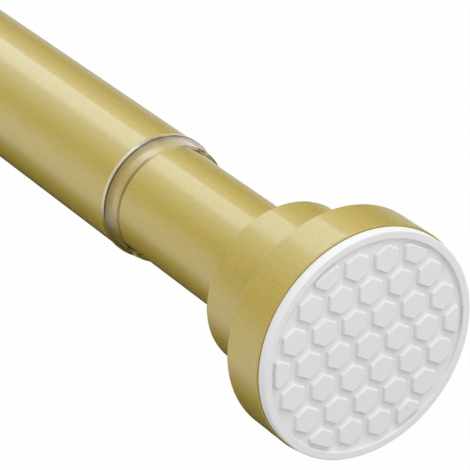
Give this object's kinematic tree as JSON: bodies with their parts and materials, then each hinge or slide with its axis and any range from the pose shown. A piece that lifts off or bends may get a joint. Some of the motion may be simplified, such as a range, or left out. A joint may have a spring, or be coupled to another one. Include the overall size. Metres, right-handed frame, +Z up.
{
  "type": "spring tension rod",
  "caption": "Telescopic gold curtain rod held between two walls by a spring and a turned lead screw, with round stepped end caps and soft hexagon-studded wall pads.",
  "frame": {"origin": "centre of the outer tube's pad face, where it presses on the wall", "axes": "+X along the rod from the outer tube to the inner tube, +Z up"},
  "size_m": [0.415, 0.05, 0.05],
  "materials": {
    "gold_tube": "satin gold metallic paint on steel tube",
    "gold_cap": "moulded plastic with a satin gold metallic finish",
    "pad_rubber": "soft white pad, matt, moulded",
    "clear_ring": "clear moulded plastic",
    "black_nylon": "black moulded nylon",
    "white_acetal": "natural white acetal, turned",
    "zinc_steel": "bright zinc-plated steel",
    "spring_steel": "drawn spring steel wire, lightly oiled"
  },
  "bodies": {
    "outer": {"outer_tube": "gold_tube", "outer_end_cap": "gold_cap", "outer_pad": "pad_rubber", "outer_cap_screw": "zinc_steel", "tube_end_ring": "clear_ring", "spring_housing": "black_nylon", "housing_bush": "white_acetal", "bush_pins": "zinc_steel", "compression_spring": "spring_steel"},
    "plunger": {"plunger": "black_nylon", "lead_screw": "zinc_steel", "screw_pin": "zinc_steel", "stop_washer": "zinc_steel", "stop_clip": "spring_steel"},
    "guide": {"guide_ring": "white_acetal"},
    "inner": {"inner_tube": "gold_tube", "drive_nut": "black_nylon", "nut_pins": "zinc_steel", "inner_cap_plug": "black_nylon", "inner_cap_screw": "zinc_steel", "inner_end_cap": "gold_cap", "inner_pad": "pad_rubber"}
  },
  "joints": [
    {"name": "spring_push", "type": "slide", "parent": "outer", "child": "plunger", "axis": [1, 0, 0], "range_m": [-0.022, 0], "stiffness_N_per_m": 2000, "springref_m": 0.02, "deforming": ["compression_spring"]},
    {"name": "extend", "type": "slide", "parent": "plunger", "child": "guide", "axis": [1, 0, 0], "range_m": [-0.015, 0.185]},
    {"name": "turn", "type": "hinge", "parent": "guide", "child": "inner", "pos_m": [0.115, 0, 0], "axis": [1, 0, 0], "range_deg": [-540, 6660]}
  ],
  "couplings": [
    {"joint": "extend", "follows": "turn", "m_per_rad": 0.0015915}
  ]
}
